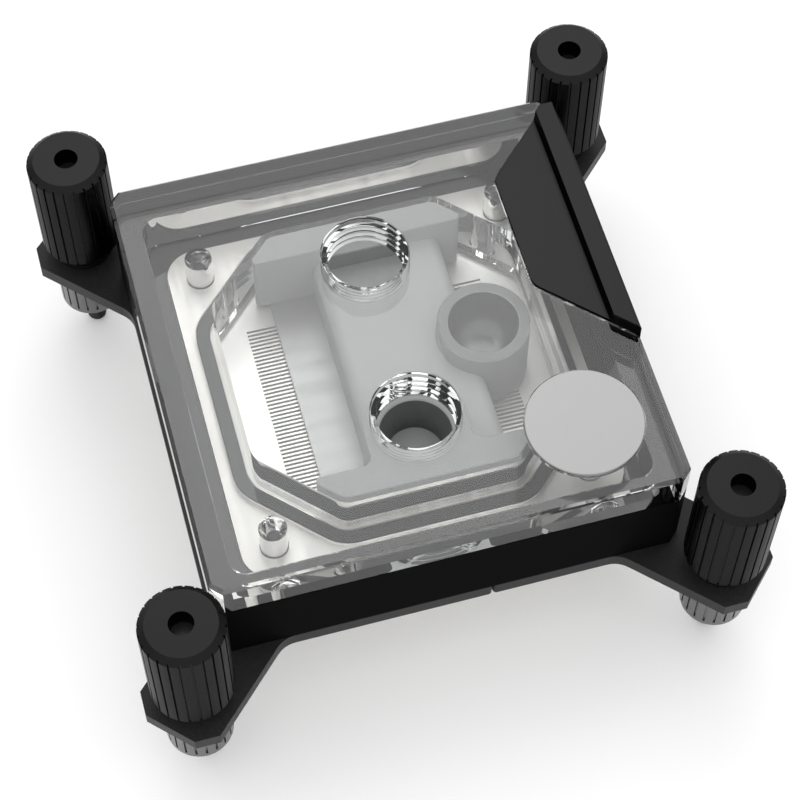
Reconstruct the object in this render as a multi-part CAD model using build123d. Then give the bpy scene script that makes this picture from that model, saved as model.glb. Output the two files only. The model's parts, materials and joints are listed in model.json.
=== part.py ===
from build123d import *
import math
import os

# CPU water block: a clear acrylic top on a black frame, a nickel-plated cold plate with micro fins,
# two bracket halves with four arms, and a captive thumb screw over a standoff at the end of each arm.
# Millimetres. +X runs along the front edge to the right, +Y to the back, +Z up.
# The origin is the centre of the cold plate's contact face, which rests on the processor.

# Plan sizes
HOLE_PITCH = 78.0        # square of the four thumb screw axes
BLOCK_SIDE = 68.6        # clear top and frame, outside
BLOCK_CUT = 1.7          # leg of their cut corners
FRAME_WALL = 3.7         # wall of the black frame
FRAME_CORNER = 2.5       # inner corner radius of the frame
BRACKET_RING_W = 5.95    # width of the bracket's ring under the frame
PLATE_ROUND = 4.5        # corner radius of the cold plate
RIM_OVERLAP = 1.7        # how far the cold plate's rim reaches under the bracket

# Heights, from the contact face up
PAD_H = 0.6              # raised contact pad
RIM_T = 1.8              # rim that clamps the bracket
BRACKET_T = 2.4          # bracket sheet
PLATE_T = 5.3            # whole cold plate
FRAME_H = 12.8           # black frame
TOP_T = 6.0              # clear top's visible slab
CEILING_DROP = 6.0       # depth of the flow chamber's ceiling under the clear top's face
TOP_CHAMFER = 0.55       # polished edge round the clear top
FOOT_CHAMFER = 0.3       # edge round the foot of its deep body

# Clearances
SLIP = 0.15              # parts that drop into one another
TURN_CLEARANCE = 0.05    # running fit of the thumb screw in its standoff
FACE_CLEARANCE = 0.05    # faces that slide on one another

# Seal and flow chamber
SEAL_INSET = 2.8         # edge of the raised plate to the O-ring's centre line
SEAL_LEG = 11.6          # leg of the centre line's 45 degree corners
SEAL_BEND = 5.0          # bend radius of the centre line
SEAL_W = 2.0             # width of the O-ring once squeezed
SEAL_H = 1.5             # height once squeezed
SEAL_ROUND = 0.2         # bevel of its flattened edges
SEAL_SIDE_GAP = 0.1      # groove wall to O-ring
CHAMBER_LAND = 0.7       # acrylic between the groove and the chamber
INSERT_GAP = 0.9         # chamber wall to flow insert

# Micro fins
FIN_FIELD_X = 36.8
FIN_FIELD_Y = 30.4
FIN_PITCH = 0.66
FIN_T = 0.33
FIN_H = 2.6

# Jet plate
JET_W = 27.8
JET_L = 40.0
JET_T = 0.8
JET_SLOT_W = 1.6
JET_SLOT_L = 24.0

# Flow insert
BAR_W = 4.2              # end bars that reach the ceiling
BAR_TIP_ROUND = 0.7      # corners at the ends of the bars
BAR_ROOT_ROUND = 1.5     # corners between the front bar and the inlet boss
WEB_LEFT = 7.0           # web edge left of the middle
WEB_RIGHT = 12.6         # web edge right of the middle
WEB_H = 8.0              # web above the jet plate
WEB_ROUND = 2.0
INLET_BOSS_R = 7.5
INLET_MOUTH_R = 5.3      # funnel under the inlet port
INLET_FUNNEL_H = 3.8
INLET_THROAT_R = 4.1
INLET_THROAT_H = 2.1
INLET_DROP_R = 2.3       # hole in the throat's floor, down to the duct
INLET_DROP_Y = 1.7       # its centre, in front of the port's axis
DUCT_W = 8.0             # duct from the inlet to the jet slot
DUCT_H = 4.0
CUP_X = 14.1
CUP_R = 6.85
CUP_BORE_R = 5.2
CUP_DEPTH = 7.0
CUP_BOTTOM_ROUND = 3.2
CUP_FLAT = 6.4           # centre to the flattened side
CUP_CLEARANCE = 0.05     # cup in its bore

# Ports
PORT_Y = 13.85           # port axes, front and back of the middle
PORT_R = 5.72            # crest radius of the port thread
PORT_MOUTH_R = 6.5
PORT_MOUTH_H = 0.6

# Block screws, up through the cold plate into the clear top
SEAL_TO_SCREW = 3.7      # O-ring's corner to the screw, along either side
BLOCK_SCREW_R = 1.95
BLOCK_HOLE_R = 2.0
BLOCK_HOLE_H = 8.1
BLOCK_HOLE_TIP = 1.2
BLOCK_HOLE_MOUTH = 0.25
BLOCK_SCREW_IN = 2.6     # thread engaged in the acrylic
BLOCK_HEAD_R = 3.7
BLOCK_HEAD_H = 1.9
BLOCK_HEX_R = 1.45
BLOCK_HEX_H = 1.2

# Frame screws, up through the bracket into the frame
FRAME_SCREW_INSET = 2.35  # from the block's side
FRAME_SCREW_SIDE = 14.0  # from the middle, along the side
FRAME_SCREW_R = 0.95
FRAME_SCREW_IN = 4.0
FRAME_HEAD_R = 1.75
FRAME_HEAD_H = 0.9
FRAME_HEX_R = 0.65
FRAME_HEX_H = 0.5

# Bracket arms
ARM_HALF_W = 6.6         # half width across the diagonal
ARM_END = 6.2            # thumb screw axis to the slanted end
ARM_REACH = 7.25         # thumb screw axis to the flats of the arm's end
ARM_ROOT_ROUND = 4.0
BRACKET_JOINT_X = 6.0    # joint of the two halves at the front, as far left of the middle at the back
BRACKET_JOINT_GAP = 0.12
BRACKET_JOINT_ROUND = 0.6

# Standoffs
STANDOFF_R = 4.87
STANDOFF_L = 9.4
STANDOFF_FOOT = 0.8      # smooth band at its foot
SPIGOT_R = 2.6           # neck through the arm

# Grip grooves of knobs and standoffs
GROOVE_PITCH = 1.55
GROOVE_W = 0.32
GROOVE_DEPTH = 0.3

# Thumb screws
SCREW_R = 1.5            # threaded end
SHOULDER_R = 2.0         # smooth shank inside the standoff, the spring and the knob
SCREW_BELOW = 7.5        # threaded end, beyond the standoff
SCREW_TIP_CHAMFER = 0.4
SCREW_TOP_INSET = 3.2    # screw end under the knob's face
KNOB_R = 5.97
KNOB_H = 19.1
KNOB_FACE_R = 4.96
KNOB_CHAMFER_H = 1.0
KNOB_GAP = 3.7           # knob above the arm
KNOB_HOLE_R = 1.75
POCKET_R = 4.0
POCKET_H = 11.0
WASHER_R = 4.4
WASHER_T = 0.8
WASHER_CLEARANCE = 0.4
SPRING_OUT_R = 3.3
SPRING_WIRE = 0.8

# Trim cover, let into the right side of the clear top
TRIM_LEFT = 22.0         # inner edge
TRIM_REAR = 21.5         # rear end of the inner edge
TRIM_FRONT = 1.95        # front end of the inner edge
TRIM_TAIL = 31.6         # rear end
TRIM_BEND = 2.6
TRIM_SUNK = 1.0
TRIM_PROUD = 0.4
RAIL_W = 3.5
RAIL_H = 1.8
RAIL_SLOPE = 0.35
RAIL_EDGE = 0.35
TRIM_GAP = 0.1

# Badge, let into the clear top
BADGE_X = 22.2
BADGE_Y = -21.9
BADGE_R = 8.5
BADGE_T = 1.0
BADGE_SUNK = 0.75
BADGE_EDGE = 0.12

# Heights that follow
RIM_TOP = PAD_H + RIM_T
BRACKET_TOP = RIM_TOP + BRACKET_T
FRAME_TOP = BRACKET_TOP + FRAME_H
TOP_FACE = FRAME_TOP + TOP_T
CEILING = TOP_FACE - CEILING_DROP
JET_TOP = PLATE_T + JET_T
WEB_TOP = JET_TOP + WEB_H
STANDOFF_FOOT_Z = RIM_TOP - STANDOFF_L
KNOB_BOTTOM = BRACKET_TOP + KNOB_GAP
KNOB_TOP = KNOB_BOTTOM + KNOB_H
WASHER_TOP = BRACKET_TOP + WASHER_T
SCREW_TIP_Z = STANDOFF_FOOT_Z - SCREW_BELOW
SCREW_TOP_Z = KNOB_TOP - SCREW_TOP_INSET

# Plan sizes that follow
BLOCK_HALF = BLOCK_SIDE / 2
FRAME_INNER = BLOCK_HALF - FRAME_WALL
HOLE_HALF = HOLE_PITCH / 2
OPENING_SIDE = BLOCK_SIDE - 2 * BRACKET_RING_W
PLATE_SIDE = OPENING_SIDE - 2 * SLIP
FRAME_SCREW_AT = BLOCK_HALF - FRAME_SCREW_INSET
SEAL_HALF = PLATE_SIDE / 2 - SEAL_INSET
BLOCK_SCREW_AT = SEAL_HALF - SEAL_LEG / 2 + SEAL_TO_SCREW
GROOVE_HALF_W = SEAL_W / 2 + SEAL_SIDE_GAP
CHAMBER_OFFSET = -(GROOVE_HALF_W + CHAMBER_LAND)
INSERT_OFFSET = CHAMBER_OFFSET - INSERT_GAP
CORNERS = {"fl": (-1, -1), "fr": (1, -1), "bl": (-1, 1), "br": (1, 1)}


def lift(z):
    """A horizontal plane at height z."""
    return Plane.XY.offset(z)


def prism(face, low, high):
    """A flat outline drawn up from one height to another."""
    return extrude(lift(low) * face, high - low)


def rod(radius, low, high, x=0.0, y=0.0):
    """An upright cylinder between two heights."""
    return Pos(x, y, low) * Cylinder(radius, high - low, align=(Align.CENTER, Align.CENTER, Align.MIN))


def taper(low_r, high_r, low, high, x=0.0, y=0.0):
    """An upright cone between two heights."""
    cone = Cone(low_r, high_r, high - low, align=(Align.CENTER, Align.CENTER, Align.MIN))
    return Pos(x, y, low) * cone


def cut_square(side, leg):
    """A square with its four corners cut at 45 degrees."""
    return chamfer(Rectangle(side, side).vertices(), leg)


def plate_outline(grown):
    """The cold plate's rounded square, grown by an offset."""
    side = PLATE_SIDE + 2 * grown
    return RectangleRounded(side, side, PLATE_ROUND + grown)


def seal_outline(offset):
    """The octagon of the seal's centre line, grown or shrunk by an offset, with its bends."""
    half = SEAL_HALF + offset
    leg = SEAL_LEG + offset * (2 - math.sqrt(2))
    bend = max(SEAL_BEND + offset, 0.4)
    return fillet(cut_square(2 * half, leg).vertices(), bend)


def grooved_disc(radius):
    """A disc with narrow grooves all round its edge, about one pitch apart."""
    groove = Rectangle(2 * GROOVE_DEPTH, GROOVE_W)
    count = round(2 * math.pi * radius / GROOVE_PITCH)
    return Circle(radius) - [spot * groove for spot in PolarLocations(radius, count)]


def corner_spots(half):
    """The four corners of a centred square, front left, front right, back left, back right."""
    return {name: (sx * half, sy * half) for name, (sx, sy) in CORNERS.items()}


def frame_screw_spots():
    """Two spots on each side of the block, by name."""
    spots = {}
    for side, (ux, uy) in {"front": (0, -1), "back": (0, 1), "left": (-1, 0), "right": (1, 0)}.items():
        for number, along in enumerate((-FRAME_SCREW_SIDE, FRAME_SCREW_SIDE), 1):
            x = ux * FRAME_SCREW_AT + abs(uy) * along
            y = uy * FRAME_SCREW_AT + abs(ux) * along
            spots[f"{side}_{number}"] = (x, y)
    return spots


def flat_head_screw(x, y, bottom, head_r, head_h, shank_r, top, hex_r, hex_h):
    """A countersunk screw seen from below, with a hexagon socket in its head."""
    body = taper(head_r, shank_r, bottom, bottom + head_h, x, y) + rod(shank_r, bottom, top, x, y)
    return body - prism(Pos(x, y) * RegularPolygon(hex_r, 6), bottom, bottom + hex_h)


def countersunk_hole(x, y, bottom, head_r, head_h, hole_r, top):
    """The hole for such a screw."""
    return taper(head_r, hole_r, bottom, bottom + head_h, x, y) + rod(hole_r, bottom, top, x, y)


def cold_plate():
    """Nickel-plated copper: contact pad, clamping rim, raised plate and micro fins."""
    pad_face = seal_outline(CHAMBER_OFFSET)
    rim_face = plate_outline(SLIP + RIM_OVERLAP)
    body = prism(pad_face, 0, PAD_H) + prism(rim_face, PAD_H, RIM_TOP)
    body += prism(plate_outline(0), RIM_TOP, PLATE_T)
    slots = int(FIN_FIELD_Y / FIN_PITCH)
    first = -(slots - 1) / 2 * FIN_PITCH
    slot = Rectangle(FIN_FIELD_X, FIN_PITCH - FIN_T)
    channels = Sketch() + [Pos(0, first + i * FIN_PITCH) * slot for i in range(slots)]
    body -= prism(channels, PLATE_T - FIN_H, PLATE_T)
    for x, y in corner_spots(BLOCK_SCREW_AT).values():
        body -= countersunk_hole(x, y, PAD_H, BLOCK_HEAD_R + SLIP, BLOCK_HEAD_H,
                                 BLOCK_SCREW_R + SLIP, PLATE_T)
    return body


def jet_plate():
    """Thin steel plate on the fins, with the jet slot across them."""
    face = RectangleRounded(JET_W, JET_L, 1.0) - SlotOverall(JET_SLOT_L, JET_SLOT_W, rotation=90)
    return prism(face, PLATE_T, JET_TOP)


def flow_insert():
    """Bars that reach the ceiling at both ends, a lower web between them and the inlet boss."""
    outline = seal_outline(INSERT_OFFSET)
    half = SEAL_HALF + INSERT_OFFSET
    bar_inner = half - BAR_W
    back = outline & (Pos(0, half - BAR_W / 2) * Rectangle(3 * half, BAR_W))
    back = fillet(back.vertices().group_by(Axis.Y)[0], BAR_TIP_ROUND)
    front = outline & (Pos(0, -half + BAR_W / 2) * Rectangle(3 * half, BAR_W))
    front = fillet(front.vertices().group_by(Axis.Y)[-1], BAR_TIP_ROUND)
    link_l = half - BAR_W / 2 - PORT_Y
    front += Pos(0, -PORT_Y - link_l / 2) * Rectangle(2 * INLET_BOSS_R, link_l)
    roots = [v for v in front.vertices() if abs(abs(v.X) - INLET_BOSS_R) + abs(v.Y + bar_inner) < 0.01]
    front = fillet(roots, BAR_ROOT_ROUND)
    web_w = WEB_LEFT + WEB_RIGHT
    web_x = (WEB_RIGHT - WEB_LEFT) / 2
    web_l = 2 * (half - BAR_W / 2)
    web = Pos(web_x, 0, JET_TOP) * Box(web_w, web_l, WEB_H, align=(Align.CENTER, Align.CENTER, Align.MIN))
    long_edges = web.edges().filter_by(Axis.Y).group_by(Axis.Z)[-1]
    web = fillet(long_edges, min(WEB_ROUND, 0.4 * WEB_H))
    body = prism(front, JET_TOP, CEILING) + prism(back, JET_TOP, CEILING) + web
    body += rod(INLET_BOSS_R, JET_TOP, CEILING, 0, -PORT_Y)
    body -= rod(CUP_R + CUP_CLEARANCE, JET_TOP, CEILING, CUP_X, 0)
    funnel_foot = CEILING - INLET_FUNNEL_H
    body -= taper(INLET_THROAT_R, INLET_MOUTH_R, funnel_foot, CEILING, 0, -PORT_Y)
    body -= rod(INLET_THROAT_R, funnel_foot - INLET_THROAT_H, funnel_foot, 0, -PORT_Y)
    drop_y = -PORT_Y - INLET_DROP_Y
    body -= rod(INLET_DROP_R, JET_TOP, funnel_foot - INLET_THROAT_H, 0, drop_y)
    duct_start = drop_y - DUCT_W / 4
    duct = Box(DUCT_W, JET_SLOT_L / 2 - duct_start, DUCT_H, align=(Align.CENTER, Align.MIN, Align.MIN))
    return body - Pos(0, duct_start, JET_TOP) * duct


def flow_cup():
    """The round cup between the jet plate and the ceiling, flat above the web, with a bowl in its top."""
    cup = rod(CUP_R, JET_TOP, CEILING, CUP_X, 0)
    cup -= Pos(CUP_X - CUP_FLAT - CUP_R / 2, 0, CEILING) * Box(CUP_R, 2 * CUP_R, 2 * (CEILING - WEB_TOP))
    bowl = rod(CUP_BORE_R, CEILING - CUP_DEPTH, CEILING, CUP_X, 0)
    return cup - fillet(bowl.edges().group_by(Axis.Z)[0], min(CUP_BOTTOM_ROUND, 0.8 * CUP_BORE_R))


def main_o_ring():
    """The squeezed O-ring between the cold plate and the clear top."""
    face = seal_outline(SEAL_W / 2) - seal_outline(-SEAL_W / 2)
    ring = prism(face, PLATE_T, PLATE_T + SEAL_H)
    flat_edges = ring.edges().filter_by(Plane.XY)
    return chamfer(flat_edges, min(SEAL_ROUND, 0.3 * SEAL_H))


def trim_outline(gap):
    """The trim cover's outline in plan, running out over the block's right side."""
    right = BLOCK_HALF + BLOCK_CUT
    left = TRIM_LEFT - gap
    slant = gap * math.tan(math.radians(22.5))
    run = right - left
    front = TRIM_FRONT - slant
    rear = TRIM_REAR + slant
    shape = Polygon((left, front), (right, front - run), (right, rear + run), (left, rear), align=None)
    bends = shape.vertices().filter_by(lambda v: v.X < left + 0.1)
    shape = fillet(bends, TRIM_BEND + gap)
    tail = Pos(right, TRIM_TAIL + gap + BLOCK_SIDE / 2) * Rectangle(BLOCK_SIDE, BLOCK_SIDE)
    return shape - tail


def clear_top():
    """Acrylic top: visible slab, deep body inside the frame, flow chamber, ports, grooves and recesses."""
    slab = prism(cut_square(BLOCK_SIDE, BLOCK_CUT), FRAME_TOP, TOP_FACE)
    slab = chamfer(slab.edges().group_by(Axis.Z)[-1], TOP_CHAMFER)
    boss_side = 2 * (FRAME_INNER - SLIP)
    deep_body = prism(RectangleRounded(boss_side, boss_side, FRAME_CORNER), PLATE_T, FRAME_TOP)
    body = slab + chamfer(deep_body.edges().group_by(Axis.Z)[0], FOOT_CHAMFER)
    body -= prism(seal_outline(CHAMBER_OFFSET), PLATE_T, CEILING)
    groove = seal_outline(GROOVE_HALF_W) - seal_outline(-GROOVE_HALF_W)
    body -= prism(groove, PLATE_T, PLATE_T + SEAL_H)
    for y in (-PORT_Y, PORT_Y):
        body -= rod(PORT_R, CEILING, TOP_FACE, 0, y)
        body -= taper(PORT_R, PORT_MOUTH_R, TOP_FACE - PORT_MOUTH_H, TOP_FACE, 0, y)
    hole_top = PLATE_T + BLOCK_HOLE_H
    for x, y in corner_spots(BLOCK_SCREW_AT).values():
        body -= rod(BLOCK_HOLE_R, PLATE_T, hole_top, x, y)
        body -= taper(BLOCK_HOLE_R, 0.2, hole_top, hole_top + BLOCK_HOLE_TIP, x, y)
        body -= rod(BLOCK_HOLE_R + BLOCK_HOLE_MOUTH, PLATE_T, PLATE_T + BLOCK_HOLE_MOUTH, x, y)
    body -= prism(trim_outline(TRIM_GAP), TOP_FACE - TRIM_SUNK, TOP_FACE)
    body -= rod(BADGE_R + TRIM_GAP, TOP_FACE - BADGE_SUNK, TOP_FACE, BADGE_X, BADGE_Y)
    return body


def trim_cover():
    """Black trim let into the top: a low face on the left and a raised rail along the block's side."""
    low = TOP_FACE - TRIM_SUNK
    face_top = TOP_FACE + TRIM_PROUD
    rail_top = face_top + RAIL_H
    block = cut_square(BLOCK_SIDE, BLOCK_CUT)
    whole = prism(trim_outline(0.0) & block, low, rail_top)
    rail_left = BLOCK_HALF - RAIL_W
    side = Polygon(
        (0, low), (BLOCK_HALF, low), (BLOCK_HALF, rail_top - RAIL_EDGE), (BLOCK_HALF - RAIL_EDGE, rail_top),
        (rail_left + RAIL_SLOPE, rail_top), (rail_left, face_top), (0, face_top), align=None)
    return whole & extrude(Plane.XZ * side, BLOCK_SIDE, both=True)


def badge():
    """The plain round metal disc on the clear top."""
    low = TOP_FACE - BADGE_SUNK
    disc = rod(BADGE_R, low, low + BADGE_T, BADGE_X, BADGE_Y)
    return chamfer(disc.edges().group_by(Axis.Z)[-1], BADGE_EDGE)


def base_frame():
    """The black ring that carries the clear top on the bracket."""
    inner = RectangleRounded(2 * FRAME_INNER, 2 * FRAME_INNER, FRAME_CORNER)
    body = prism(cut_square(BLOCK_SIDE, BLOCK_CUT) - inner, BRACKET_TOP, FRAME_TOP)
    for x, y in frame_screw_spots().values():
        body -= rod(FRAME_SCREW_R, BRACKET_TOP, BRACKET_TOP + FRAME_SCREW_IN, x, y)
    return body


def bracket_outline():
    """The bracket's whole plan: the ring under the frame and four arms along the diagonals."""
    arm_l = math.sqrt(2) * HOLE_HALF + ARM_END
    arm = Pos(arm_l / 2, 0) * Rectangle(arm_l, 2 * ARM_HALF_W)
    shape = cut_square(BLOCK_SIDE, BLOCK_CUT)
    for angle in (45, 135, 225, 315):
        shape += Rot(0, 0, angle) * arm
    reach = 2 * (HOLE_HALF + ARM_REACH)
    shape &= Rectangle(reach, reach)
    roots = [v for v in shape.vertices() if abs(max(abs(v.X), abs(v.Y)) - BLOCK_HALF) < 0.01]
    shape = fillet(roots, ARM_ROOT_ROUND)
    return shape - plate_outline(SLIP)


def bracket_half(turn):
    """One half of the bracket. Both are the same part, the left one as it is and the right one turned 180."""
    reach = HOLE_HALF + ARM_REACH
    window = Polygon(
        (-reach, -reach), (BRACKET_JOINT_X - BRACKET_JOINT_GAP / 2, -reach),
        (BRACKET_JOINT_X - BRACKET_JOINT_GAP / 2, 0), (-BRACKET_JOINT_X - BRACKET_JOINT_GAP / 2, 0),
        (-BRACKET_JOINT_X - BRACKET_JOINT_GAP / 2, reach), (-reach, reach), align=None)
    shape = bracket_outline() & window
    ends = [v for v in shape.vertices() if abs(v.X) < 1.1 * BRACKET_JOINT_X and abs(v.Y) > BLOCK_HALF - 0.01]
    body = prism(fillet(ends, BRACKET_JOINT_ROUND), RIM_TOP, BRACKET_TOP)
    for x, y in corner_spots(HOLE_HALF).values():
        if x < 0:
            body -= rod(SPIGOT_R + SLIP / 3, RIM_TOP, BRACKET_TOP, x, y)
    for x, y in frame_screw_spots().values():
        if x < 0:
            body -= countersunk_hole(x, y, RIM_TOP, FRAME_HEAD_R + SLIP / 3, FRAME_HEAD_H,
                                     FRAME_SCREW_R + SLIP / 3, BRACKET_TOP)
    return Rot(0, 0, turn) * body


def standoff(x, y):
    """Grooved spacer under the arm, with a neck through the arm's hole."""
    body = prism(Pos(x, y) * grooved_disc(STANDOFF_R), STANDOFF_FOOT_Z + STANDOFF_FOOT, RIM_TOP)
    body += rod(STANDOFF_R, STANDOFF_FOOT_Z, STANDOFF_FOOT_Z + STANDOFF_FOOT, x, y)
    body += rod(SPIGOT_R, RIM_TOP, BRACKET_TOP, x, y)
    return body - rod(SHOULDER_R + TURN_CLEARANCE, STANDOFF_FOOT_Z, BRACKET_TOP, x, y)


def washer(x, y):
    """Black washer on the arm, over the standoff's neck."""
    hole = rod(SHOULDER_R + WASHER_CLEARANCE, BRACKET_TOP, WASHER_TOP, x, y)
    return rod(WASHER_R, BRACKET_TOP, WASHER_TOP, x, y) - hole


def thumb_knob(x, y):
    """Tall black knob with vertical grooves, a chamfered face, a centre hole and a spring pocket."""
    side = Polygon(
        (0, KNOB_BOTTOM), (KNOB_R, KNOB_BOTTOM), (KNOB_R, KNOB_TOP - KNOB_CHAMFER_H),
        (KNOB_FACE_R, KNOB_TOP), (0, KNOB_TOP), align=None)
    blank = revolve(Plane.XZ * side, Axis.Z)
    body = prism(grooved_disc(KNOB_R), KNOB_BOTTOM, KNOB_TOP) & blank
    body -= rod(POCKET_R, KNOB_BOTTOM, KNOB_BOTTOM + POCKET_H)
    body -= rod(SHOULDER_R, KNOB_BOTTOM, SCREW_TOP_Z)
    body -= rod(KNOB_HOLE_R, SCREW_TOP_Z, KNOB_TOP)
    return Pos(x, y, 0) * body


def thumb_shank(x, y):
    """The black shoulder screw fixed in the knob, through the spring, the washer and the standoff."""
    shank = rod(SCREW_R, SCREW_TIP_Z, STANDOFF_FOOT_Z, x, y)
    shank += rod(SHOULDER_R, STANDOFF_FOOT_Z, SCREW_TOP_Z, x, y)
    return chamfer(shank.edges().group_by(Axis.Z)[0], min(SCREW_TIP_CHAMFER, 0.5 * SCREW_R))


def spring(x, y):
    """The outer shape of the coil spring between the washer and the knob's pocket."""
    low = WASHER_TOP + FACE_CLEARANCE
    high = KNOB_BOTTOM + POCKET_H
    return rod(SPRING_OUT_R, low, high, x, y) - rod(SPRING_OUT_R - SPRING_WIRE, low, high, x, y)


def block_screw(x, y):
    """Countersunk screw that holds the cold plate to the clear top."""
    return flat_head_screw(x, y, PAD_H, BLOCK_HEAD_R, BLOCK_HEAD_H, BLOCK_SCREW_R,
                           PLATE_T + BLOCK_SCREW_IN, BLOCK_HEX_R, BLOCK_HEX_H)


def frame_screw(x, y):
    """Small countersunk screw that holds the bracket to the frame."""
    return flat_head_screw(x, y, RIM_TOP, FRAME_HEAD_R, FRAME_HEAD_H, FRAME_SCREW_R,
                           BRACKET_TOP + FRAME_SCREW_IN, FRAME_HEX_R, FRAME_HEX_H)


def build_nodes():
    """Every node of the model by name."""
    nodes = {
        "cold_plate": cold_plate(),
        "jet_plate": jet_plate(),
        "flow_insert": flow_insert(),
        "flow_cup": flow_cup(),
        "main_o_ring": main_o_ring(),
        "clear_top": clear_top(),
        "trim_cover": trim_cover(),
        "badge": badge(),
        "base_frame": base_frame(),
        "bracket_left": bracket_half(0),
        "bracket_right": bracket_half(180),
    }
    for name, (x, y) in corner_spots(HOLE_HALF).items():
        nodes[f"standoff_{name}"] = standoff(x, y)
        nodes[f"washer_{name}"] = washer(x, y)
        nodes[f"thumb_knob_{name}"] = thumb_knob(x, y)
        nodes[f"thumb_shank_{name}"] = thumb_shank(x, y)
        nodes[f"spring_{name}"] = spring(x, y)
    for name, (x, y) in corner_spots(BLOCK_SCREW_AT).items():
        nodes[f"block_screw_{name}"] = block_screw(x, y)
    for name, (x, y) in frame_screw_spots().items():
        nodes[f"frame_screw_{name}"] = frame_screw(x, y)
    return nodes


def main():
    os.makedirs("parts", exist_ok=True)
    for name, solid in build_nodes().items():
        export_step(solid, f"parts/{name}.step")


if __name__ == "__main__":
    main()
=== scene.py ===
# %% [markdown]
# # A clear-topped water block
#
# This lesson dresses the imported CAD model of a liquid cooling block. The CAD holds every rigid part at
# its real size. Here the parts get their finishes, the ports get their thread, the springs get their
# coils, and one camera and a few soft lamps show the result the way a studio picture would.
# Lengths are written in millimetres, and the factor MM turns them to metres.

# %% Load the frame
import json
import math

import bmesh
import bpy
import numpy as np
from mathutils import Matrix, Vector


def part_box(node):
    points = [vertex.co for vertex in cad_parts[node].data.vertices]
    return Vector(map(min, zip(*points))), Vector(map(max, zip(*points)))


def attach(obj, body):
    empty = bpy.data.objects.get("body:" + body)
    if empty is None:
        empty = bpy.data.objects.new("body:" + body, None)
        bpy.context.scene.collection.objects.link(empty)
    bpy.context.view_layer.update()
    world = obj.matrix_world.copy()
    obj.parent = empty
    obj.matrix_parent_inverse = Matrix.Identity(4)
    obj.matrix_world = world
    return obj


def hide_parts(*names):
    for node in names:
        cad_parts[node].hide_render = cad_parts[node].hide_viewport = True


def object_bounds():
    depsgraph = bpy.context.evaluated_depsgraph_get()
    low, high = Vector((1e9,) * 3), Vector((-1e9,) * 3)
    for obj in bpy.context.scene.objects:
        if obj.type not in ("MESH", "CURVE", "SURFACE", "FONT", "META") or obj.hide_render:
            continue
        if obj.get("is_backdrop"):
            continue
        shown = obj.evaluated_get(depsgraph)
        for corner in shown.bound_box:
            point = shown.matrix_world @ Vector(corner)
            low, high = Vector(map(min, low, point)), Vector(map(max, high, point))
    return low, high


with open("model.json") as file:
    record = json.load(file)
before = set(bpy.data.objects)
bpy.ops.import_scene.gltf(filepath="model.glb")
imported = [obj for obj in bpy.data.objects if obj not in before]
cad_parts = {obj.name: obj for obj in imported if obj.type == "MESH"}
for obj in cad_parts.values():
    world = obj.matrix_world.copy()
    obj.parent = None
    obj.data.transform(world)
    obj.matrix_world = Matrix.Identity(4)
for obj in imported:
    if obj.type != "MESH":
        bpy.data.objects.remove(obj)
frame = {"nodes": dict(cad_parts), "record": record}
bpy.context.view_layer.update()
cad_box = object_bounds()
MM = 0.001
CORNERS = ("fl", "fr", "bl", "br")


def plain(box):
    return [[float(v) for v in corner] for corner in box]


def box_mm(node):
    """A node's lowest and highest corners in millimetres, as two arrays."""
    low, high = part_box(node)
    return np.array(low) / MM, np.array(high) / MM


# %% [markdown]
# ## Measures taken from the frame
#
# The heights of the main faces come from the nodes' boxes, and the ports' place and radius from the
# record's mounts, so the pieces made below follow the CAD if a size changes there.

# %% Heights and places
mounts = {mount["name"]: mount for mount in frame["record"]["mounts"]}
floor_z = plain(cad_box)[0][2] / MM
top_low, top_high = box_mm("clear_top")
TOP_FOOT = float(top_low[2])
TOP_FACE = float(top_high[2])
FRAME_TOP = float(box_mm("base_frame")[1][2])
CEILING = float(box_mm("flow_insert")[1][2])
PLATE_TOP = float(box_mm("cold_plate")[1][2])
PORT_Y = mounts["port_out"]["pos_m"][1] / MM
PORT_BORE_R = mounts["port_out"]["dims"]["r_mm"]
print("floor", round(floor_z, 2), "top face", round(TOP_FACE, 2), "chamber ceiling", round(CEILING, 2))

# %% [markdown]
# ## Camera
#
# The picture was taken with a long lens from the front left, well above the block. The three angles and
# the place below were found by fitting the outlines of the four thumb screws. A camera looks along its
# own -Z, so the matrix is built from a right, an up and a backward vector.

# %% Camera
FOCAL_PX = 2250.2
PICTURE_PX = 800
SENSOR_MM = 36.0
ELEVATION = math.radians(59.50)
AZIMUTH = math.radians(15.76)
ROLL = math.radians(0.40)
CAMERA_AT = (-45.31, -166.06, 296.06)
CLIP_M = (0.01, 20.0)    # nearest and farthest distance seen, in metres


def camera_axes():
    """Right, up and forward: forward from the two view angles, then both others turned by the roll."""
    forward = np.array([
        math.sin(AZIMUTH) * math.cos(ELEVATION),
        math.cos(AZIMUTH) * math.cos(ELEVATION),
        -math.sin(ELEVATION),
    ])
    right = np.cross(forward, (0.0, 0.0, 1.0))
    right /= np.linalg.norm(right)
    up = np.cross(right, forward)
    turned_right = right * math.cos(ROLL) + up * math.sin(ROLL)
    turned_up = up * math.cos(ROLL) - right * math.sin(ROLL)
    return turned_right, turned_up, forward


def make_camera():
    """The studio camera, its lens worked out from the focal length in pixels."""
    right, up, forward = camera_axes()
    data = bpy.data.cameras.new("studio_camera")
    data.sensor_width = SENSOR_MM
    data.lens = SENSOR_MM * FOCAL_PX / PICTURE_PX
    data.clip_start, data.clip_end = CLIP_M
    camera = bpy.data.objects.new("studio_camera", data)
    bpy.context.scene.collection.objects.link(camera)
    turn = Matrix(np.stack([right, up, -forward], axis=1).tolist()).to_4x4()
    camera.matrix_world = Matrix.Translation([v * MM for v in CAMERA_AT]) @ turn
    bpy.context.scene.camera = camera
    return camera


camera = make_camera()
print("lens", round(camera.data.lens, 1), "mm")

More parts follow.
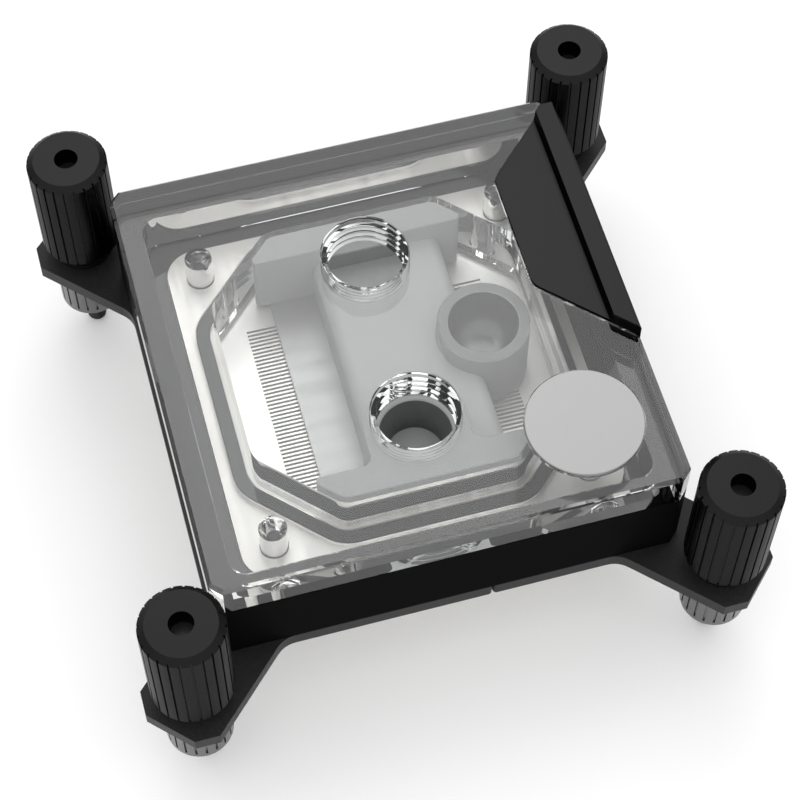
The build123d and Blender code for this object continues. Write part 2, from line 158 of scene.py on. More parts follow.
# %% [markdown]
# ## Tools for meshes
#
# Two functions make meshes: one from a grid of points, for new shapes, and one by copying a CAD node and
# joining its loose points, for shapes that only need a small change. A shape made from CAD has flat faces
# beside round ones, so the shading rule for such pieces lives here too.

# %% Mesh helpers
MERGE_MM = 0.002         # points nearer than this become one
NODE_MERGE_MM = 0.0005   # the same, for the finer mesh of a CAD node
SHARP_DEG = 28           # edges that turn more than this stay sharp
FLAT_LEAD = 50           # how much large faces lead the normals at their corners


def grid_object(name, points, around=True):
    """A mesh from a grid of points, rows along the first index, closed round the second if asked.

    Every cell of the grid becomes one four-sided face. Rows that shrink to one point are merged, so the
    ends of a turned shape are closed.
    """
    rows, columns = points.shape[:2]
    steps = columns if around else columns - 1
    i, j = np.meshgrid(np.arange(rows - 1), np.arange(steps), indexing="ij")
    k = (j + 1) % columns
    corners = [i * columns + j, i * columns + k, (i + 1) * columns + k, (i + 1) * columns + j]
    quads = np.stack(corners, axis=-1)
    mesh = bpy.data.meshes.new(name)
    mesh.from_pydata((points.reshape(-1, 3) * MM).tolist(), [], quads.reshape(-1, 4).tolist())
    piece = bpy.data.objects.new(name, mesh)
    bpy.context.scene.collection.objects.link(piece)
    merge(piece, MERGE_MM)
    mesh.polygons.foreach_set("use_smooth", np.full(len(mesh.polygons), True))
    return piece


def merge(piece, distance):
    """Joins points nearer than a distance in millimetres and turns all faces outwards."""
    work = bmesh.new()
    work.from_mesh(piece.data)
    bmesh.ops.remove_doubles(work, verts=work.verts, dist=distance * MM)
    bmesh.ops.recalc_face_normals(work, faces=work.faces)
    work.to_mesh(piece.data)
    work.free()
    stored_normals = piece.data.attributes.get("custom_normal")
    if stored_normals:
        piece.data.attributes.remove(stored_normals)


def copy_node(node, name):
    """A merged copy of a CAD node's mesh, as a piece of its own that stands for the node."""
    source = frame["nodes"][node]
    piece = bpy.data.objects.new(name, source.data.copy())
    bpy.context.scene.collection.objects.link(piece)
    merge(piece, NODE_MERGE_MM)
    return piece


def shade(piece):
    """Smooth shading between sharp edges. Large faces lead the shared normals, so flats stay flat."""
    mesh = piece.data
    mesh.polygons.foreach_set("use_smooth", np.full(len(mesh.polygons), True))
    mesh.set_sharp_from_angle(angle=math.radians(SHARP_DEG))
    weighted = piece.modifiers.new("flat faces stay flat", "WEIGHTED_NORMAL")
    weighted.mode = "FACE_AREA"
    weighted.weight = FLAT_LEAD
    weighted.keep_sharp = True


print("points in the CAD's clear top:", len(frame["nodes"]["clear_top"].data.vertices))

# %% [markdown]
# ## Acrylic top with real threads
#
# The top is one block of cast acrylic, milled and polished. Seen through it, everything bends and
# mirrors, so it has to be a closed solid with its real inner faces. The CAD leaves the port bores plain.
# A thread in clear plastic is what makes the ports sparkle, so it is cut here: a cutter whose radius
# rises and falls along a helix is taken out of a copy of the top.

# %% Thread cutters
THREAD_PITCH = 1.337
THREAD_OUT_R = 6.58
THREAD_STEPS = 240
THREAD_LAND = 0.2        # half width of the flats in the depth curve below
THREAD_PAST = (0.2, 0.6)  # how far the cutter reaches below the bore and above it
CREST_SUNK = 0.03        # how far the cutter's crest stays inside the bore
PROFILE = (0.0, 0.082, 0.25, 0.418, 0.5, 0.582, 0.75, 0.918)  # the rows' places in one pitch


def thread_depth(from_root):
    """How deep the thread is cut, from 0 to 1, at a distance along the axis from the middle of its root.

    It falls from a flat root down a straight flank to a flat crest, as in a pipe thread.
    """
    flank = THREAD_PITCH / 2 - 2 * THREAD_LAND
    return 1 - np.clip((from_root - THREAD_LAND) / flank, 0, 1)


def thread_cutter(name, y, low, high):
    """The space of a threaded bore.

    Each row of points climbs one pitch in a turn, so a row follows the root, the flanks or the crest all
    the way. A height is the row's part of the pitch plus the turn times the pitch, held between the bore's
    ends. The radius is the bore's plus the thread's depth there.
    """
    turns = int((high - low) / THREAD_PITCH) + 2
    part = (np.arange(-1, turns)[:, None] + np.array(PROFILE)[None, :]).ravel()[:, None]
    turn = np.linspace(0, 1, THREAD_STEPS + 1)[None, :]
    z = np.clip(low + THREAD_PITCH * (part + turn), low, high)
    from_root = np.abs((z - low) / THREAD_PITCH - turn + 0.5) % 1 - 0.5
    inner = PORT_BORE_R - CREST_SUNK
    radius = inner + (THREAD_OUT_R - inner) * thread_depth(np.abs(from_root) * THREAD_PITCH)
    angle = 2 * np.pi * turn
    wall = np.stack([radius * np.cos(angle), y + radius * np.sin(angle), z], axis=-1)
    end_shape = (1, THREAD_STEPS + 1, 3)
    foot, head = (np.broadcast_to(np.array([0.0, y, level]), end_shape) for level in (low, high))
    return grid_object(name, np.concatenate([foot, wall, head]), around=False)


def cut(piece, cutters):
    """Takes each cutter out of a piece for good, and removes the cutter."""
    for cutter in cutters:
        boolean = piece.modifiers.new("cut", "BOOLEAN")
        boolean.operation = "DIFFERENCE"
        boolean.solver = "EXACT"
        boolean.object = cutter
    bpy.context.view_layer.update()
    evaluated = piece.evaluated_get(bpy.context.evaluated_depsgraph_get())
    cut_mesh = bpy.data.meshes.new_from_object(evaluated)
    piece.modifiers.clear()
    piece.data = cut_mesh
    for cutter in cutters:
        bpy.data.objects.remove(cutter)


print("thread depth:", round(THREAD_OUT_R - PORT_BORE_R, 2), "mm")

# %% [markdown]
# The four screws that hold the cold plate end in blind bores. A bore drilled in acrylic has a smooth wall
# and a shallow cone at its end, where the drill's tip was, and both mirror their surroundings. So each
# bore is turned again with many more sides than the CAD's mesh has, a few hundredths wider.

# %% Screw bore cutters
BORE_R = 2.03
BORE_START = 0.1         # above the top's foot, inside the bore's wider mouth
BORE_DEPTH = 8.1
BORE_TIP = 1.38          # height of the drill's cone
BORE_SIDES = 128


def bore_cutter(name, x, y):
    """A drilled bore: a profile of radius and height, a wall and a cone, turned round the bore's axis."""
    radius = np.array([0.0, BORE_R, BORE_R, 0.0])[:, None]
    height = np.array([BORE_START, BORE_START, BORE_DEPTH, BORE_DEPTH + BORE_TIP])[:, None]
    angle = (2 * np.pi * np.arange(BORE_SIDES) / BORE_SIDES)[None, :]
    z = np.broadcast_to(TOP_FOOT + height, (len(height), BORE_SIDES))
    points = np.stack([x + radius * np.cos(angle), y + radius * np.sin(angle), z], axis=-1)
    return grid_object(name, points)


print("bores end", round(BORE_DEPTH + BORE_TIP, 2), "mm above the top's foot")

# %% [markdown]
# Now the six cutters are taken out of a copy of the top. The exact solver is slower than the fast one, and
# is the one that copes with a helix that meets a flat face. The result stands for the CAD's clear top.

# %% Cut the top
clear_top = copy_node("clear_top", "clear_top_threaded")
below, above = THREAD_PAST
cutters = [
    thread_cutter(f"port_cutter_{side}", y, CEILING - below, TOP_FACE + above)
    for side, y in (("front", -PORT_Y), ("back", PORT_Y))
]
for corner in CORNERS:
    low, high = box_mm(f"block_screw_{corner}")
    middle = (low + high) / 2
    cutters.append(bore_cutter(f"bore_cutter_{corner}", middle[0], middle[1]))
cut(clear_top, cutters)
shade(clear_top)
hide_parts("clear_top")
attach(clear_top, "block")
print("clear top faces:", len(clear_top.data.polygons))

# %% [markdown]
# ## Parts that touch the acrylic
#
# Where a part is pressed flat on clear plastic there is no air between them, and it is seen plainly, a
# little darker. Where a thin film of air is left, the plastic's inner face mirrors the light at a shallow
# angle and hides the part behind it. In the CAD both faces lie in one plane, which a renderer can't
# tell apart. So copies of these parts are moved at that face by two hundredths of a millimetre: the flow
# insert, the cup, the cold plate, the trim and the badge into the acrylic, and the frame and the seal
# away from it. The insert and the cup also get a small chamfer there, as moulded and turned parts have.

# %% Seated copies
SEAT = 0.02
EASE = 0.15              # chamfer on the insert and the cup
SAME_LEVEL = 0.005       # points this near a height belong to its face
FLAT_DEG = 0.5           # faces that turn less than this are one flat face
RIM_DEG = 40             # edges that turn more than this are a rim


def points_of(piece):
    """A mesh's points in millimetres, as an array."""
    flat = np.empty(len(piece.data.vertices) * 3)
    piece.data.vertices.foreach_get("co", flat)
    return flat.reshape(-1, 3) / MM


def put_points(piece, points):
    """Writes an array of points in millimetres back to a mesh."""
    piece.data.vertices.foreach_set("co", (points * MM).ravel())
    piece.data.update()


def ease_edges(piece, level, width):
    """Breaks the sharp edges round the flat faces at one height with a narrow chamfer."""
    work = bmesh.new()
    work.from_mesh(piece.data)
    bmesh.ops.dissolve_limit(work, angle_limit=math.radians(FLAT_DEG), verts=work.verts, edges=work.edges)
    rim = [edge for edge in work.edges
           if all(abs(vert.co.z - level * MM) < SAME_LEVEL * MM for vert in edge.verts)
           and edge.calc_face_angle(0) > math.radians(RIM_DEG)]
    bmesh.ops.bevel(work, geom=rim, offset=width * MM, segments=1, affect="EDGES", clamp_overlap=True)
    work.to_mesh(piece.data)
    work.free()


def seated(node, name, level, step, eased=0.0):
    """A copy of a node, its edges at one height eased if asked, and its points there moved by a step."""
    piece = copy_node(node, name)
    if eased:
        ease_edges(piece, level, eased)
    points = points_of(piece)
    points[np.abs(points[:, 2] - level) < SAME_LEVEL, 2] += step
    put_points(piece, points)
    shade(piece)
    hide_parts(node)
    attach(piece, "block")
    return piece


seal_top = float(box_mm("main_o_ring")[1][2])
trim_foot = float(box_mm("trim_cover")[0][2])
badge_foot = float(box_mm("badge")[0][2])
insert_piece = seated("flow_insert", "flow_insert_seated", CEILING, SEAT, EASE)
cup_piece = seated("flow_cup", "flow_cup_seated", CEILING, SEAT, EASE)
plate_piece = seated("cold_plate", "cold_plate_seated", PLATE_TOP, SEAT)
frame_piece = seated("base_frame", "base_frame_seated", FRAME_TOP, -SEAT)
seal_piece = seated("main_o_ring", "o_ring_seated", seal_top, -SEAT)
trim_piece = seated("trim_cover", "trim_cover_seated", trim_foot, -SEAT)
badge_piece = seated("badge", "badge_seated", badge_foot, -SEAT)
print("insert faces:", len(insert_piece.data.polygons), "plate faces:", len(plate_piece.data.polygons))

# %% [markdown]
# ## Coil springs
#
# Inside each knob a steel spring pushes the bracket down. The CAD has a plain tube in its place. A coil
# is a circle carried along a helix: the helix gives the middle of the wire, and two vectors square to it
# carry the wire's own circle.

# %% Springs
WIRE_R = 0.38
COILS = 7.0
END_TURN = 0.8           # turns at each end that lie nearly flat
END_RISE = 0.12          # share of the height that rises evenly, end turns included
WIRE_SIDES = 10
STEPS_PER_COIL = 40


def coil(name, x, y, low, high, outer_r):
    """A helical wire: the middle runs round the axis, slower in height over the first and last turn."""
    rows = int(COILS * STEPS_PER_COIL) + 1
    t = np.linspace(0, 1, rows)
    angle = 2 * np.pi * COILS * t
    free = np.clip((t * COILS - END_TURN) / (COILS - 2 * END_TURN), 0, 1)
    z = low + WIRE_R + (high - low - 2 * WIRE_R) * (END_RISE * t + (1 - END_RISE) * free)
    ring = outer_r - WIRE_R
    middle = np.stack([x + ring * np.cos(angle), y + ring * np.sin(angle), z], axis=-1)
    along = np.gradient(middle, axis=0)
    along /= np.linalg.norm(along, axis=1, keepdims=True)
    outward = np.stack([np.cos(angle), np.sin(angle), np.zeros(rows)], axis=-1)
    upward = np.cross(along, outward)
    side = 2 * np.pi * np.arange(WIRE_SIDES) / WIRE_SIDES
    wire = (middle[:, None]
            + WIRE_R * np.cos(side)[None, :, None] * outward[:, None]
            + WIRE_R * np.sin(side)[None, :, None] * upward[:, None])
    ends = [np.broadcast_to(middle[i], (1, WIRE_SIDES, 3)) for i in (0, -1)]
    return grid_object(name, np.concatenate([ends[0], wire, ends[1]]))


for corner in CORNERS:
    low, high = box_mm(f"spring_{corner}")
    middle = (low + high) / 2
    spring = coil(f"spring_coil_{corner}", middle[0], middle[1], low[2], high[2], (high[0] - low[0]) / 2)
    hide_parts(f"spring_{corner}")
    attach(spring, f"thumb_screw_{corner}")
print("spring faces:", len(spring.data.polygons))

# %% [markdown]
# ## Shoulder screws with a thread
#
# The screw in each knob is smooth where it turns in the standoff and threaded below it. The thread is a
# raised cosine along a helix, cut inwards from the outer radius: at this size its flanks are too small to
# be seen as straight, and the soft wave needs fewer rows than the ports' thread.

# %% Shoulder screws
STUD_R = 1.5
STUD_ROOT_R = 1.23
STUD_PITCH = 0.5
STUD_NECK = 0.3          # plain neck between the thread and the shoulder
STUD_TIP = 0.4           # chamfer at the tip
STUD_STEP = 0.001        # the shoulder's face rises by this from its inner to its outer edge
STUD_SIDES = 40
STUD_ROWS_PER_TURN = 10
STUD_SHARP_DEG = 50      # edges that turn more than this stay sharp


def shoulder_screw(name, x, y, tip, shoulder_foot, top, shoulder_r):
    """A turned screw: chamfered tip, a helical thread that runs out below the shoulder, a plain shank."""
    thread_end = shoulder_foot - STUD_NECK
    z = np.arange(tip, thread_end, STUD_PITCH / STUD_ROWS_PER_TURN)[:, None]
    turn = np.linspace(0, 1, STUD_SIDES, endpoint=False)[None, :]
    wave = 0.5 + 0.5 * np.cos(2 * np.pi * (z / STUD_PITCH - turn))
    run_out = np.clip((thread_end - z) / STUD_PITCH, 0, 1)
    radius = STUD_R - (STUD_R - STUD_ROOT_R) * wave * run_out
    radius = np.minimum(radius, STUD_R - STUD_TIP + (z - tip))
    once_round = np.ones((1, STUD_SIDES))
    tail_r = np.array([[STUD_R], [shoulder_r], [shoulder_r], [0.0]]) * once_round
    tail_z = np.array([[shoulder_foot], [shoulder_foot + STUD_STEP], [top], [top]]) * once_round
    all_r = np.concatenate([0 * once_round, radius, tail_r])
    all_z = np.concatenate([tip * once_round, z * once_round, tail_z])
    angle = 2 * np.pi * turn
    points = np.stack([x + all_r * np.cos(angle), y + all_r * np.sin(angle), all_z], axis=-1)
    piece = grid_object(name, points)
    piece.data.set_sharp_from_angle(angle=math.radians(STUD_SHARP_DEG))
    return piece


for corner in CORNERS:
    low, high = box_mm(f"thumb_shank_{corner}")
    middle = (low + high) / 2
    foot = float(box_mm(f"standoff_{corner}")[0][2])
    shoulder_r = (high[0] - low[0]) / 2
    screw = shoulder_screw(
        f"shoulder_screw_{corner}", middle[0], middle[1], low[2], foot, high[2], shoulder_r)
    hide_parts(f"thumb_shank_{corner}")
    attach(screw, f"thumb_screw_{corner}")
print("screw faces:", len(screw.data.polygons))

# %% [markdown]
# ## Finishes
#
# Each finish starts from the real material. Its colours are written as hex codes, the way a picture
# program shows them, and a shader wants linear numbers, so one function turns the first to the second. The
# other adds a node with its settings and links in one call.

# %% Colour and node helpers


def colour(hex_code):
    """An sRGB hex colour as linear red, green, blue and alpha."""
    parts = [int(hex_code[i:i + 2], 16) / 255 for i in (1, 3, 5)]
    linear = [c / 12.92 if c <= 0.04045 else ((c + 0.055) / 1.055) ** 2.4 for c in parts]
    return (*linear, 1.0)


def add(tree, kind, links=None, **settings):
    """Adds a node. Settings name an attribute or a socket, links name a socket and what feeds it."""
    node = tree.nodes.new(kind)
    for key, value in settings.items():
        if hasattr(node, key):
            setattr(node, key, value)
        else:
            node.inputs[key.replace("_", " ")].default_value = value
    for key, source in (links or {}).items():
        tree.links.new(source, node.inputs[key])
    return node


print("mid grey in linear light:", round(colour("#808080")[0], 3))

# %% [markdown]
# One recipe serves all solid finishes. The patterns are set in millimetres: a noise of a given grain size
# has a scale of one over that size, because object coordinates are in metres.

# %% Material tools
TONE_STOPS = (0.35, 0.65)  # the noise values at which the two tones are pure
NOISE_ENDS = (0.3, 0.7)  # the noise values that give the lowest and highest roughness
SPREAD = 0.05            # how far the roughness strays to either side
EDGE_MM = 0.08           # how far the bevel node rounds each edge


def new_material(name):
    """An empty node material with its output node."""
    material = bpy.data.materials.new(name)
    material.use_nodes = True
    tree = material.node_tree
    tree.nodes.clear()
    output = add(tree, "ShaderNodeOutputMaterial")
    return material, tree, output


def dress(pieces, material):
    """Puts a material on pieces or CAD nodes."""
    for piece in pieces:
        piece.data.materials.clear()
        piece.data.materials.append(material)


def finish(name, dark, light, roughness, grain_mm, bump_mm, metallic=0.0, specular=0.5,
           stretch=(1.0, 1.0, 1.0), glancing="#FFFFFF"):
    """A solid finish. A noise mixes two near tones, spreads the roughness and raises a fine bump.

    The bump starts from a bevel node's normal, which rounds every edge by a fraction of a millimetre.
    The glancing colour is a metal's tint where it is seen along its surface.
    """
    material, tree, output = new_material(name)
    place = add(tree, "ShaderNodeTexCoord")
    mapping = add(tree, "ShaderNodeMapping", {"Vector": place.outputs["Object"]}, Scale=stretch)
    noise = add(tree, "ShaderNodeTexNoise", {"Vector": mapping.outputs["Vector"]},
                Scale=1.0 / (grain_mm * MM), Detail=3.0, Roughness=0.6)
    tones = add(tree, "ShaderNodeValToRGB", {"Fac": noise.outputs["Fac"]})
    for stop, position, code in zip(tones.color_ramp.elements, TONE_STOPS, (dark, light)):
        stop.position = position
        stop.color = colour(code)
    rough = add(tree, "ShaderNodeMapRange", {"Value": noise.outputs["Fac"]},
                From_Min=NOISE_ENDS[0], From_Max=NOISE_ENDS[1],
                To_Min=roughness - SPREAD, To_Max=roughness + SPREAD)
    edge = add(tree, "ShaderNodeBevel", samples=4, Radius=EDGE_MM * MM)
    bump = add(tree, "ShaderNodeBump", {"Height": noise.outputs["Fac"], "Normal": edge.outputs["Normal"]},
               Strength=1.0, Distance=bump_mm * MM)
    links = {"Base Color": tones.outputs["Color"], "Roughness": rough.outputs["Result"],
             "Normal": bump.outputs["Normal"]}
    shader = add(tree, "ShaderNodeBsdfPrincipled", links, Metallic=metallic, Specular_IOR_Level=specular,
                 Specular_Tint=colour(glancing))
    tree.links.new(shader.outputs["BSDF"], output.inputs["Surface"])
    return material


print("edges are drawn round by", EDGE_MM, "mm")

# %% [markdown]
# ### Acrylic
#
# Cast acrylic is clearer than window glass and bends light a little less, with an index of 1.491. Light
# that reaches the parts inside has to pass through it, and a path tracer finds those bent paths slowly.
# So what lights the parts inside goes straight through, and what the eye sees is bent as it should be.

# %% Polished cast acrylic
ACRYLIC_IOR = 1.491
HAZE = 0.002             # roughness of the cloudiest spots of the polish
HAZE_GRAIN_MM = 3.0


def cast_acrylic():
    """A clear refracting solid that lets shadow rays and scattered rays straight through."""
    material, tree, output = new_material("polished_cast_acrylic")
    place = add(tree, "ShaderNodeTexCoord")
    noise = add(tree, "ShaderNodeTexNoise", {"Vector": place.outputs["Object"]},
                Scale=1.0 / (HAZE_GRAIN_MM * MM))
    haze = add(tree, "ShaderNodeMapRange", {"Value": noise.outputs["Fac"]}, To_Max=HAZE)
    shader = add(tree, "ShaderNodeBsdfPrincipled", {"Roughness": haze.outputs["Result"]},
                 Base_Color=colour("#FDFEFE"), IOR=ACRYLIC_IOR, Transmission_Weight=1.0)
    clear = add(tree, "ShaderNodeBsdfTransparent", Color=colour("#F6F8F8"))
    path = add(tree, "ShaderNodeLightPath")
    rays = {0: path.outputs["Is Shadow Ray"], 1: path.outputs["Is Diffuse Ray"]}
    straight = add(tree, "ShaderNodeMath", rays, operation="MAXIMUM")
    mix = add(tree, "ShaderNodeMixShader", {0: straight.outputs["Value"], 1: shader.outputs["BSDF"],
                                            2: clear.outputs["BSDF"]})
    tree.links.new(mix.outputs["Shader"], output.inputs["Surface"])
    return material


dress([clear_top], cast_acrylic())
print("dressed:", clear_top.name)

# %% [markdown]
# ### Nickel plating and steel sheet
#
# The cold plate is copper, milled and then plated with nickel. A ground face has fine lines one way, so
# the noise is stretched along the lines. To the eye it is a bright, faintly warm metal without a sharp
# mirror image. The sheet with the jet slot is plain stainless steel with a rolled satin face, which is a
# little darker and cooler.

# %% Cold plate and jet plate
nodes = frame["nodes"]
nickel = finish("ground_nickel_plated_copper", "#E0DEDA", "#E6E4E0", 0.5, 1.5, 0.0001, metallic=1.0,
                stretch=(1.0, 0.1, 1.0))
sheet_steel = finish("satin_stainless_sheet", "#9C9C9B", "#A0A09F", 0.5, 1.5, 0.0001, metallic=1.0,
                     stretch=(0.1, 1.0, 1.0))
dress([plate_piece], nickel)
dress([nodes["jet_plate"]], sheet_steel)
print("dressed:", plate_piece.name, "and the jet plate")

# %% [markdown]
# ### Insert and cup
#
# The insert is moulded in a mid grey plastic with a fine spark-eroded texture, which scatters light evenly
# and keeps only a weak, wide sheen. The cup is a piece of its own in a slightly darker grey. Its bowl is a
# polished metal, so a soft bright spot gathers at its bottom, and the bowl's dark grey is partly painted
# shade: the shade that falls in the recess is painted into its colour. The wall of the insert's inlet
# funnel gets a darker grey that is painted shade, the shade deep in the funnel's throat. One piece can
# carry
# two finishes: each face has the number of the material slot it uses.

# %% Insert and cup
CUP_X = 14.1             # middle of the flow cup's bowl
CUP_BORE_R = 5.2
FUNNEL_R = 5.3           # mouth of the inlet funnel in the insert
FUNNEL_DEEP = 5.8        # down to just above the floor of its throat
NEAR_WALL = 0.01         # how far past a bore's radius the middle of its faces may lie
satin_insert = finish("satin_grey_insert", "#949493", "#989898", 0.45, 2.5, 0.0001, specular=0.15)
satin_cup = finish("satin_dark_cup", "#838382", "#878787", 0.45, 2.5, 0.0001, specular=0.15)
# painted shade: the funnel's darker grey stands in for the shade deep in its throat
funnel_painted_shade = finish("funnel_painted_shade_grey", "#585858", "#5C5C5C", 0.4, 2.5, 0.0001, specular=0.15)
# partly painted shade: a polished metal whose dark grey also holds the shade in the bowl's recess
bowl_metal_and_painted_shade = finish("dark_nickel_bowl_painted_shade", "#484848", "#4C4C4C", 0.2, 2.5, 0.0001, metallic=1.0)


def dress_inside(piece, material, x, y, radius, foot):
    """Gives a bore's faces a second finish: those nearer its axis than its radius, between foot and rim."""
    flat = np.empty(len(piece.data.polygons) * 3)
    piece.data.polygons.foreach_get("center", flat)
    middle = flat.reshape(-1, 3) / MM
    from_axis = np.hypot(middle[:, 0] - x, middle[:, 1] - y)
    between = (middle[:, 2] > foot) & (middle[:, 2] < CEILING - SEAT)
    inside = between & (from_axis < radius + NEAR_WALL)
    piece.data.materials.append(material)
    piece.data.polygons.foreach_set("material_index", inside.astype(np.int32))
    return int(inside.sum())


dress([insert_piece], satin_insert)
dress([cup_piece], satin_cup)
# the bowl's faces get the darker metal, partly painted shade in the recess
bowl_faces = dress_inside(cup_piece, bowl_metal_and_painted_shade, CUP_X, 0.0, CUP_BORE_R, PLATE_TOP)
# the funnel's wall gets the darker grey, which is painted shade in its throat
funnel_faces = dress_inside(insert_piece, funnel_painted_shade, 0.0, -PORT_Y, FUNNEL_R, CEILING - FUNNEL_DEEP)
print("bowl faces:", bowl_faces, "funnel faces:", funnel_faces)

# %% [markdown]
# ### Rubber seal and acetal frame
#
# The seal is moulded in black nitrile rubber, which is dull and looks a soft charcoal. The frame is milled
# from black acetal, a waxy plastic. It looks deep black, because a dull face has almost no mirror image of
# the white floor it faces.

# %% Seal and frame
rubber = finish("black_nitrile_rubber", "#3C3C3C", "#404040", 0.6, 2.5, 0.0002, specular=0.1)
acetal = finish("black_acetal", "#0C0C0C", "#101010", 0.5, 0.3, 0.001, specular=0.005)
dress([seal_piece], rubber)
dress([frame_piece], acetal)
print("dressed:", seal_piece.name, frame_piece.name)

# %% [markdown]
# ### Bracket
#
# The bracket halves are laser cut from steel sheet and powder coated. Powder melts into a skin that is
# not quite level: grains of about a third of a millimetre give a faint orange peel and a wide, soft sheen.

# %% Bracket
powder = finish("black_powder_coat", "#212121", "#292929", 0.45, 0.35, 0.004, specular=0.2)
dress([nodes["bracket_left"], nodes["bracket_right"]], powder)
print("dressed: both bracket halves")

# %% [markdown]
# ### Knobs and trim
#
# Both are turned or milled aluminium, blasted and anodised black. The dye sits in a clear oxide on metal,
# so it is drawn as a dark metal whose mirror image gets strong only where it is seen along its surface:
# the tops are near black and the round sides catch a pale line.

# %% Knobs and trim
anodised = finish("black_anodised_aluminium", "#252525", "#2A2A2A", 0.3, 0.12, 0.001, metallic=1.0,
                  glancing="#C8C8C8")
dress([nodes[f"thumb_knob_{corner}"] for corner in CORNERS], anodised)
dress([trim_piece], anodised)
print("dressed: four knobs and the trim")

# %% [markdown]
# ### Screws, washers, standoffs and springs
#
# The screws are steel blackened in hot salts, a thin dull oxide. The washers under the knobs are black
# nylon. The standoffs are turned steel with a satin nickel plating, a mid grey metal, and the springs
# are drawn wire, the brightest of the four because drawing burnishes it.

# %% Small parts
oxide = finish("black_oxide_steel", "#141414", "#1C1C1C", 0.4, 0.15, 0.002)
nylon = finish("black_nylon", "#0C0C0C", "#121212", 0.55, 0.2, 0.002, specular=0.2)
satin_nickel = finish("satin_nickel_plated_steel", "#6E6E6E", "#7A7A7A", 0.35, 0.2, 0.001, metallic=1.0)
spring_wire = finish("drawn_spring_steel", "#A8A8A8", "#BCBCBC", 0.25, 0.2, 0.001, metallic=1.0)
dress([piece for name, piece in nodes.items() if name.startswith(("block_screw", "frame_screw"))], oxide)
dress([bpy.data.objects[f"shoulder_screw_{corner}"] for corner in CORNERS], oxide)
dress([nodes[f"washer_{corner}"] for corner in CORNERS], nylon)
dress([nodes[f"standoff_{corner}"] for corner in CORNERS], satin_nickel)
dress([bpy.data.objects[f"spring_coil_{corner}"] for corner in CORNERS], spring_wire)
print("dressed: screws, washers, standoffs and springs")

# %% [markdown]
# ### Badge
#
# The round badge is a bare disc of brushed aluminium. A belt leaves straight scratches about a tenth of a
# millimetre wide, so the noise is drawn out thirty times along one direction.

# %% Badge
brushed = finish("brushed_aluminium_disc", "#A6A6A6", "#AEAEAE", 0.5, 0.12, 0.0005, metallic=1.0,
                 stretch=(1.0, 0.03, 1.0))
dress([badge_piece], brushed)
print("materials:", len(bpy.data.materials))

# %% [markdown]
# ## Floor, sky and lamps
#
# The block stands on a white floor under a white sky. One bright card hangs where the flat acrylic face
# mirrors it into the camera: it lays a pale veil over everything seen through the top. A dimmer card
# behind it does the same for the back edge.

# %% Floor
FLOOR_HALF = 3000.0
FLOOR_GLOW = 0.12
FLOOR_GRAIN_MM = 40.0
FLOOR_ROUGHNESS = (0.85, 0.95)
WHITE = (1.0, 1.0, 1.0, 1.0)


def seen_rays(tree):
    """One for camera, mirror and glass rays, which see the white studio, and nothing for lighting rays."""
    path = add(tree, "ShaderNodeLightPath")
    seen = path.outputs["Is Camera Ray"]
    for kind in ("Is Glossy Ray", "Is Transmission Ray"):
        either = add(tree, "ShaderNodeMath", {0: seen, 1: path.outputs[kind]}, operation="MAXIMUM")
        seen = either.outputs["Value"]
    return seen


def white_floor():
    """A white painted floor. Camera, mirror and glass rays see it a touch brighter, as under more lamps."""
    material, tree, output = new_material("white_painted_floor")
    place = add(tree, "ShaderNodeTexCoord")
    noise = add(tree, "ShaderNodeTexNoise", {"Vector": place.outputs["Object"]},
                Scale=1.0 / (FLOOR_GRAIN_MM * MM))
    rough = add(tree, "ShaderNodeMapRange", {"Value": noise.outputs["Fac"]},
                To_Min=FLOOR_ROUGHNESS[0], To_Max=FLOOR_ROUGHNESS[1])
    paint = add(tree, "ShaderNodeBsdfPrincipled", {"Roughness": rough.outputs["Result"]},
                Base_Color=colour("#EFEFEF"), Specular_IOR_Level=0.0)
    strength = add(tree, "ShaderNodeMath", {0: seen_rays(tree)}, operation="MULTIPLY")
    strength.inputs[1].default_value = FLOOR_GLOW
    glow = add(tree, "ShaderNodeEmission", {"Strength": strength.outputs["Value"]}, Color=WHITE)
    both = add(tree, "ShaderNodeAddShader", {0: paint.outputs["BSDF"], 1: glow.outputs["Emission"]})
    tree.links.new(both.outputs["Shader"], output.inputs["Surface"])
    return material


side = np.linspace(-FLOOR_HALF, FLOOR_HALF, 3)
floor_x, floor_y = np.meshgrid(side, side, indexing="ij")
floor_points = np.stack([floor_x, floor_y, np.full_like(floor_x, floor_z)], axis=-1)
floor = grid_object("studio_floor", floor_points, around=False)
dress([floor], white_floor())
floor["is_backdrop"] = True
print("floor:", round(2 * FLOOR_HALF * MM), "m square")

# %% [markdown]
# The sky lights the block from all sides, more from above. What camera and mirrors see of it is plain
# white with a soft grey band at the horizon: without that band the polished edges of the acrylic would
# have nothing dark to mirror, and would vanish against the white.

# %% Sky and lamps
SKY_HORIZON = 0.55
SKY_ZENITH = 1.4
SEEN_HORIZON = 0.35      # strength of the seen sky at the horizon
SEEN_BAND = 0.35         # how high the grey band reaches, as the sine of the angle
CARD_HEIGHT = 900.0


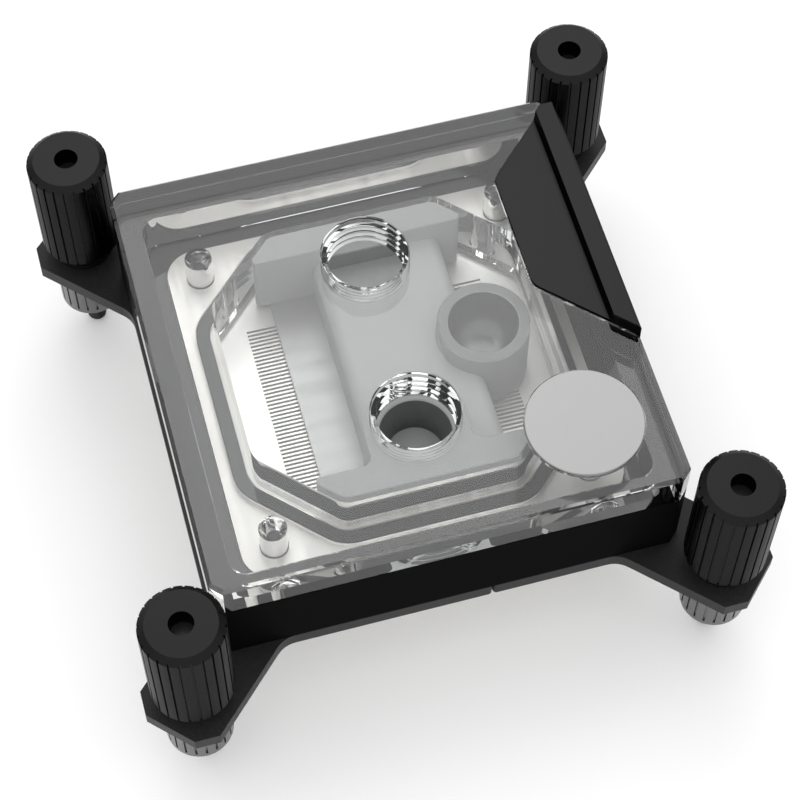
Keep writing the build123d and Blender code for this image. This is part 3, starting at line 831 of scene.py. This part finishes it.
def white_sky():
    """A sky brighter overhead than at the horizon.

    Camera, mirror and glass rays see plain white above a soft grey band at the horizon.
    """
    world = bpy.data.worlds.new("white_sky")
    world.use_nodes = True
    tree = world.node_tree
    tree.nodes.clear()
    place = add(tree, "ShaderNodeTexCoord")
    split = add(tree, "ShaderNodeSeparateXYZ", {0: place.outputs["Generated"]})
    height = {"Value": split.outputs["Z"]}
    lighting = add(tree, "ShaderNodeMapRange", height, To_Min=SKY_HORIZON, To_Max=SKY_ZENITH)
    seen = add(tree, "ShaderNodeMapRange", height, From_Max=SEEN_BAND, To_Min=SEEN_HORIZON)
    strength = add(tree, "ShaderNodeMix", {"Factor": seen_rays(tree), "A": lighting.outputs["Result"],
                                           "B": seen.outputs["Result"]})
    sky = add(tree, "ShaderNodeBackground", {"Strength": strength.outputs["Result"]}, Color=WHITE)
    output = add(tree, "ShaderNodeOutputWorld")
    tree.links.new(sky.outputs["Background"], output.inputs["Surface"])
    bpy.context.scene.world = world


def card(name, low, high, radiance):
    """A level light card between two corners, facing down, with the radiance it shows."""
    size = [(b - a) * MM for a, b in zip(low, high)]
    data = bpy.data.lights.new(name, "AREA")
    data.shape = "RECTANGLE"
    data.size, data.size_y = size
    data.energy = radiance * math.pi * size[0] * size[1]
    lamp = bpy.data.objects.new(name, data)
    lamp.location = [(a + b) / 2 * MM for a, b in zip(low, high)] + [CARD_HEIGHT * MM]
    bpy.context.scene.collection.objects.link(lamp)


white_sky()
card("mirror_card", (-100.0, 330.0), (350.0, 658.0), 1.75)
card("far_card", (-150.0, 658.0), (600.0, 1200.0), 1.5)
bpy.context.scene.view_settings.view_transform = "Standard"
print("lamps:", len(bpy.data.lights))

# %% [markdown]
# ## Finish
#
# The last cell measures the dressed model and prints its size in millimetres.

bpy.context.view_layer.update()
lowest, highest = plain(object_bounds())
print("model size:", [round((b - a) / MM, 1) for a, b in zip(lowest, highest)], "mm")
